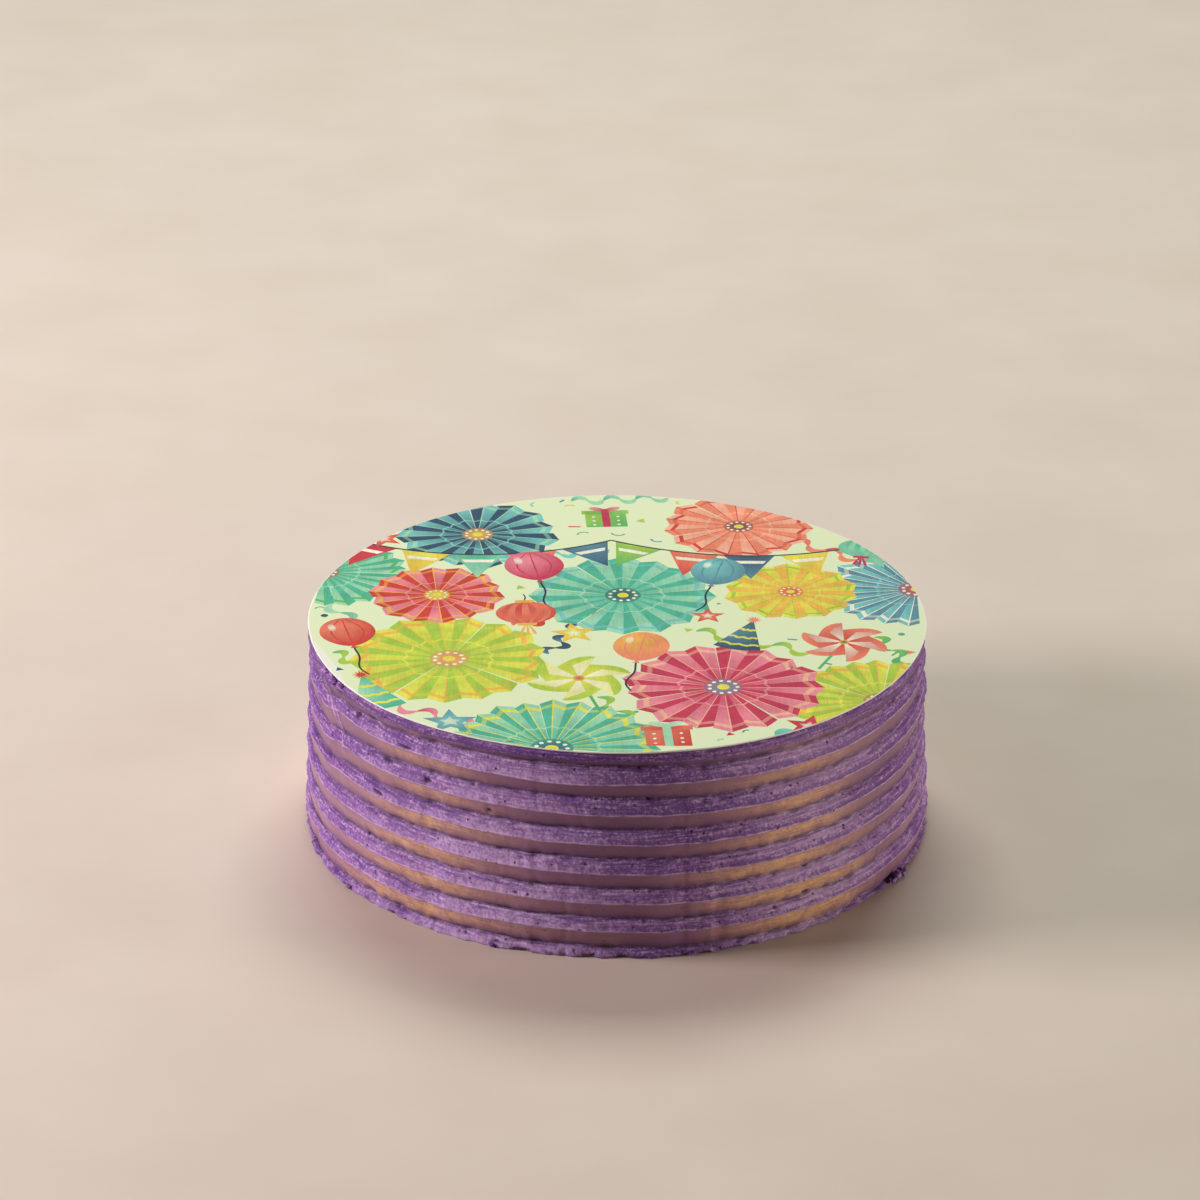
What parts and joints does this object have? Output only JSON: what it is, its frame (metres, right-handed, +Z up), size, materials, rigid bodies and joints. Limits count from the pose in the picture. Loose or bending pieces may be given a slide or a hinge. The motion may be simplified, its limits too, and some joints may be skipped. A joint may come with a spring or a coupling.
{
  "type": "birthday cake",
  "caption": "Round birthday cake with horizontal combed ridges in purple buttercream round its side and a thin printed icing sheet flat on its top.",
  "frame": {"origin": "middle of the foot, on the surface that the cake stands on", "axes": "+Z up through the middle of the top, -Y towards the front"},
  "size_m": [0.2088, 0.2088, 0.071],
  "materials": {
    "buttercream": "purple buttercream icing drawn with a comb: rough matt upper faces, smooth bronze-tinted lower faces",
    "icing_sheet": "edible paper in pale cream, satin, printed in coral, red, mint, teal, blue, lime and yellow"
  },
  "bodies": {
    "root": {"frosted_cake": "buttercream", "print_sheet": "icing_sheet"}
  },
  "joints": []
}
